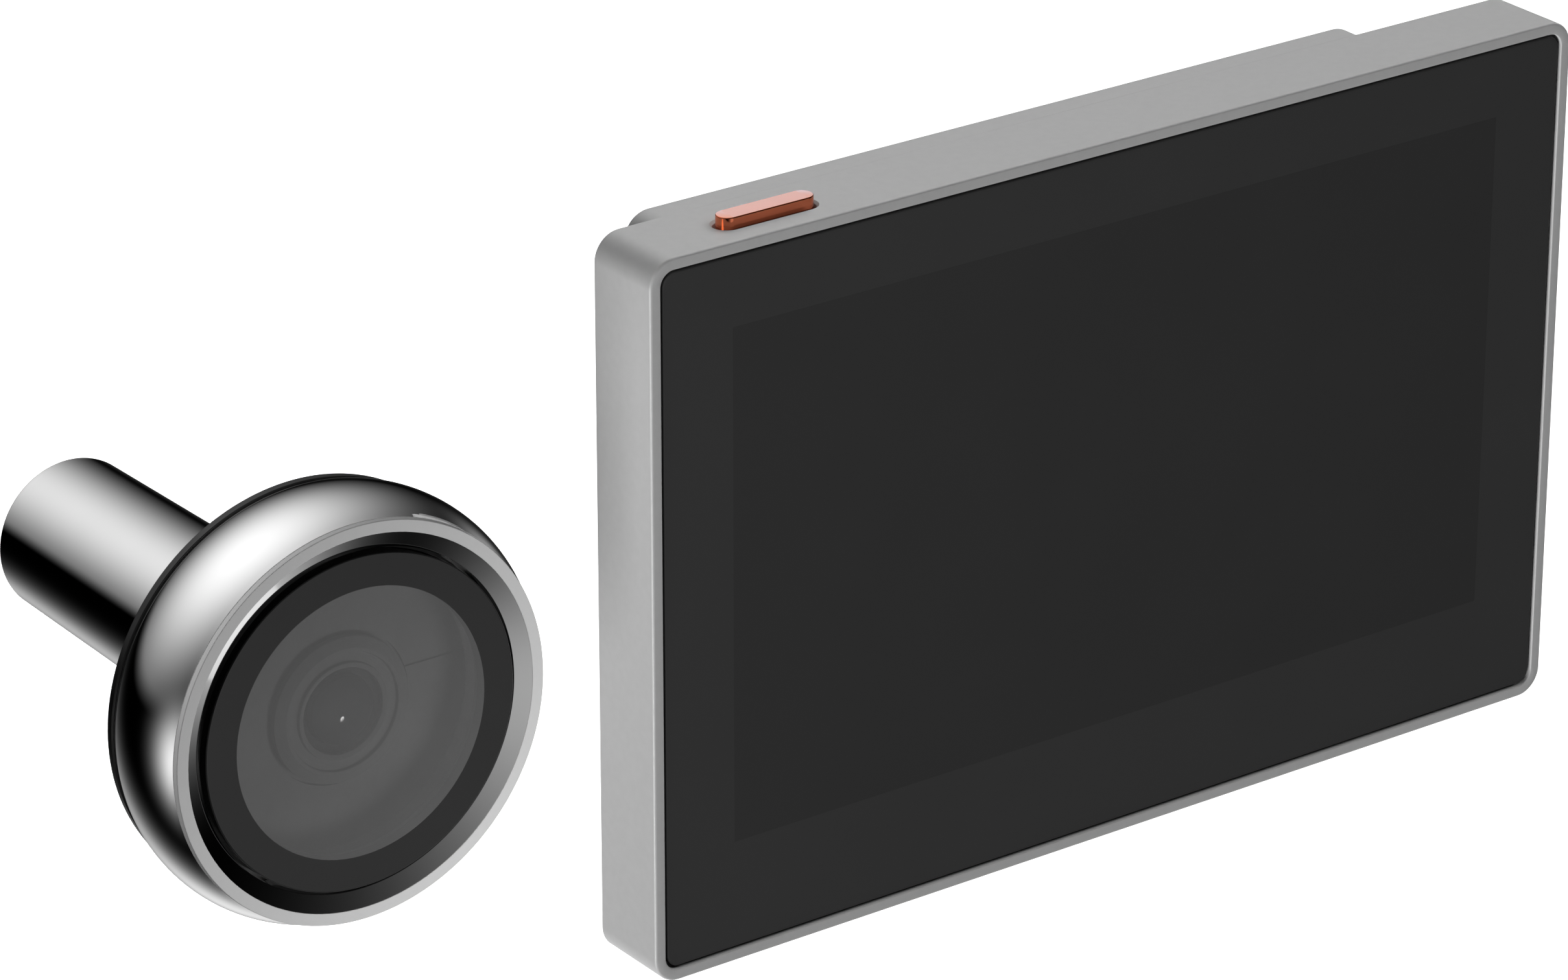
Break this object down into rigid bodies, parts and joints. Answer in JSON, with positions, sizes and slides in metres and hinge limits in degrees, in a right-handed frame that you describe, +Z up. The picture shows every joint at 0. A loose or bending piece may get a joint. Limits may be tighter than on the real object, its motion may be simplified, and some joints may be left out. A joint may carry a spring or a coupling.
{
  "type": "video doorbell",
  "caption": "Door-viewer video doorbell: a chrome camera head with a through-door barrel, and a slim landscape touch monitor in a satin aluminium frame that hangs on a door plate.",
  "frame": {"origin": "middle of the door plate's back face, which lies against the inside of the door", "axes": "+Y into the surface that the monitor hangs on, so the fronts face -Y; +Z up; +X to the right as seen from the front"},
  "size_m": [0.1943, 0.0614, 0.0884],
  "materials": {
    "satin_aluminium": "bead-blasted satin aluminium",
    "plate_steel": "zinc-plated pressed steel",
    "screen_glass": "polished glass, black from behind",
    "display": "dark display cell",
    "window_glass": "polished smoked glass",
    "lens_glass": "coated optical glass",
    "lens_trim": "black anodised",
    "chrome": "mirror polish",
    "dark_flange": "dark satin",
    "copper": "polished copper-coloured plating",
    "black_plastic": "fine texture",
    "seal": "matt",
    "circuit_board": "solder mask",
    "foil": "rolled foil and tinplate",
    "fastener": "zinc plated",
    "brass": "machined"
  },
  "bodies": {
    "door_plate": {"door_plate": "plate_steel", "hook_stud_1": "fastener", "hook_stud_2": "fastener", "hook_stud_3": "fastener", "hook_stud_4": "fastener", "plate_screw_left": "fastener", "plate_screw_right": "fastener"},
    "monitor": {"front_frame": "satin_aluminium", "rear_cover": "satin_aluminium", "touch_glass": "screen_glass", "glass_gasket": "seal", "lcd_panel": "display", "lcd_frame": "foil", "main_board": "circuit_board", "board_spacer_tape": "seal", "shield_can": "foil", "ribbon_socket": "black_plastic", "display_connector": "black_plastic", "battery_pack": "foil", "battery_tape": "seal", "speaker": "black_plastic", "speaker_gasket": "seal", "microphone": "fastener", "usb_port": "fastener", "wifi_antenna": "brass", "call_switch": "black_plastic", "switch_board": "circuit_board", "case_screw_1": "fastener", "case_screw_2": "fastener", "case_screw_3": "fastener", "case_screw_4": "fastener"},
    "call_button": {"call_button": "copper"},
    "outdoor_unit": {"head_shell": "chrome", "front_ring": "satin_aluminium", "polished_trim": "chrome", "face_seal": "seal", "lens_carrier": "black_plastic", "lens_bezel": "lens_trim", "lens_barrel": "black_plastic", "front_lens": "lens_glass", "rear_lens": "lens_glass", "image_sensor": "display", "sensor_board": "circuit_board", "bell_switch": "black_plastic", "back_flange": "dark_flange", "door_gasket": "seal", "flange_screw_1": "fastener", "flange_screw_2": "fastener", "flange_screw_3": "fastener", "barrel_tube": "chrome", "threaded_insert": "brass"},
    "bell_face": {"window_glass": "window_glass", "mask_ring": "black_plastic"}
  },
  "joints": [
    {"name": "monitor_lift", "type": "slide", "parent": "door_plate", "child": "monitor", "axis": [0, 0, 1], "range_m": [0, 0.008]},
    {"name": "call_press", "type": "slide", "parent": "monitor", "child": "call_button", "axis": [0, 0, -1], "range_m": [0, 0.0008], "stiffness_N_per_m": 60, "springref_m": -0.001},
    {"name": "barrel_withdraw", "type": "slide", "parent": "door_plate", "child": "outdoor_unit", "axis": [0, -1, 0], "range_m": [0, 0.06]},
    {"name": "bell_press", "type": "slide", "parent": "outdoor_unit", "child": "bell_face", "axis": [0, 1, 0], "range_m": [0, 0.0006], "stiffness_N_per_m": 200, "springref_m": -0.002}
  ]
}
